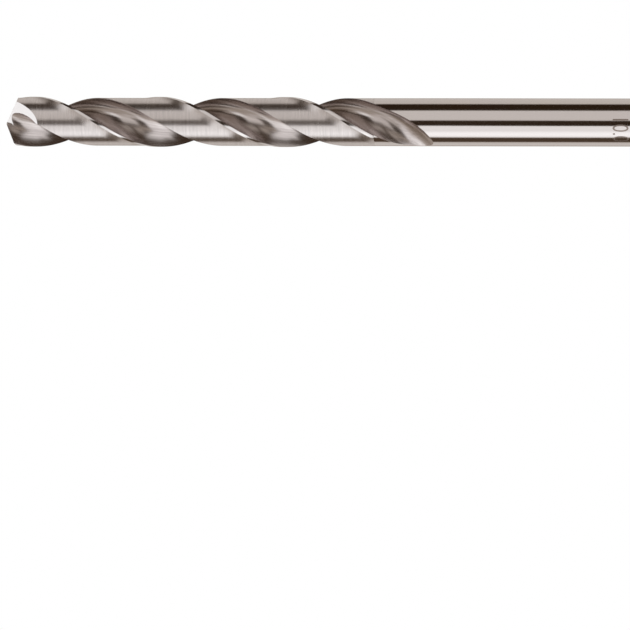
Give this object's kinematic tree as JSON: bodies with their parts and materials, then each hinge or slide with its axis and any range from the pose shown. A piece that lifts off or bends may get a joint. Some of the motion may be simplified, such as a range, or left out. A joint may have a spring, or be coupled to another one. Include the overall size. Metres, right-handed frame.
{
  "type": "twist drill bit",
  "caption": "Jobber-length twist drill bit with right-hand helical flutes, ground margins, a split point and a plain cylindrical shank.",
  "frame": {"origin": "centre of the flat end face of the shank, on which the drill stands", "axes": "+Z along the drill's axis from the shank to the point; the main lips run parallel to X, each half a web's thickness from the axis"},
  "size_m": [0.01, 0.01, 0.133],
  "materials": {
    "steel": "bright ground high speed steel, with fine grinding lines round the lands and shank and along the flutes"
  },
  "bodies": {
    "root": {"twist_drill": "steel"}
  },
  "joints": []
}
